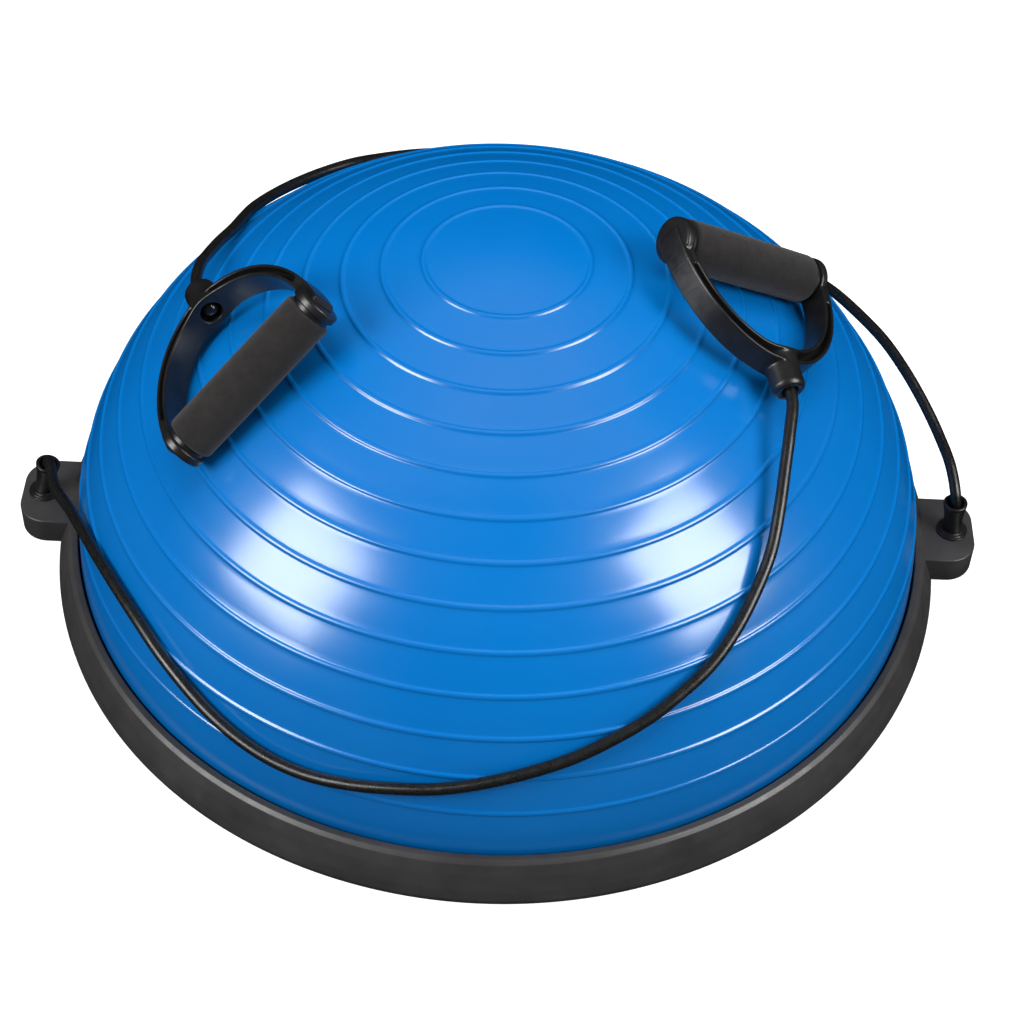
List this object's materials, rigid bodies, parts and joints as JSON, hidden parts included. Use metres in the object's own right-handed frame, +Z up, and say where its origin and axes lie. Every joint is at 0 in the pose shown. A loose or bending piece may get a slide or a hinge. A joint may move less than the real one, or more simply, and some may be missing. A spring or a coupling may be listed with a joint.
{
  "type": "balance dome trainer",
  "caption": "Air-filled rubber half dome clamped on a round platform, with two elastic pull bands that end in foam-covered D handles.",
  "frame": {"origin": "middle of the flat underside, on the floor", "axes": "+Z up through the dome's crown, +X through the right-hand ear, -Y towards the front"},
  "size_m": [0.652, 0.5998, 0.2905],
  "materials": {
    "ring_plastic": "satin",
    "dome_pvc": "gloss",
    "black_plastic": "satin",
    "foam": "matte",
    "band_latex": "satin",
    "steel": "brushed",
    "pad_rubber": "matte",
    "valve_plastic": "satin"
  },
  "bodies": {
    "base": {"platform": "ring_plastic", "platform_pads": "pad_rubber", "clamp_ring": "ring_plastic", "ring_screws": "steel", "dome_shell": "dome_pvc", "air_floor": "dome_pvc", "bead_seal": "pad_rubber", "valve_body": "valve_plastic", "left_ear_collar": "black_plastic", "right_ear_collar": "black_plastic", "left_sleeve": "black_plastic", "right_sleeve": "black_plastic", "left_band_stop": "black_plastic", "right_band_stop": "black_plastic", "front_band": "band_latex", "rear_band": "band_latex"},
    "valve_plug": {"valve_plug": "valve_plastic"},
    "left_handle": {"left_bow": "black_plastic", "left_axle": "steel", "left_stop_ball": "black_plastic", "left_washers": "black_plastic"},
    "left_grip": {"left_grip_tube": "black_plastic", "left_foam_grip": "foam"},
    "right_handle": {"right_bow": "black_plastic", "right_axle": "steel", "right_stop_ball": "black_plastic", "right_washers": "black_plastic"},
    "right_grip": {"right_grip_tube": "black_plastic", "right_foam_grip": "foam"}
  },
  "joints": [
    {"name": "valve_pull", "type": "slide", "parent": "base", "child": "valve_plug", "axis": [0, 0, -1], "range_m": [0, 0.03]},
    {"name": "left_handle_pull", "type": "slide", "parent": "base", "child": "left_handle", "axis": [0, 0, 1], "range_m": [0, 0.5], "stiffness_N_per_m": 80, "deforming": ["rear_band"]},
    {"name": "left_grip_spin", "type": "hinge", "parent": "left_handle", "child": "left_grip", "pos_m": [-0.1505, -0.0863, 0.2327], "axis": [0.6579, 0.4032, 0.6361], "continuous": true},
    {"name": "right_handle_pull", "type": "slide", "parent": "base", "child": "right_handle", "axis": [0, 0, 1], "range_m": [0, 0.5], "stiffness_N_per_m": 80, "deforming": ["front_band"]},
    {"name": "right_grip_spin", "type": "hinge", "parent": "right_handle", "child": "right_grip", "pos_m": [0.1475, 0.0244, 0.2442], "axis": [-0.766, -0.3507, 0.5388], "continuous": true}
  ]
}
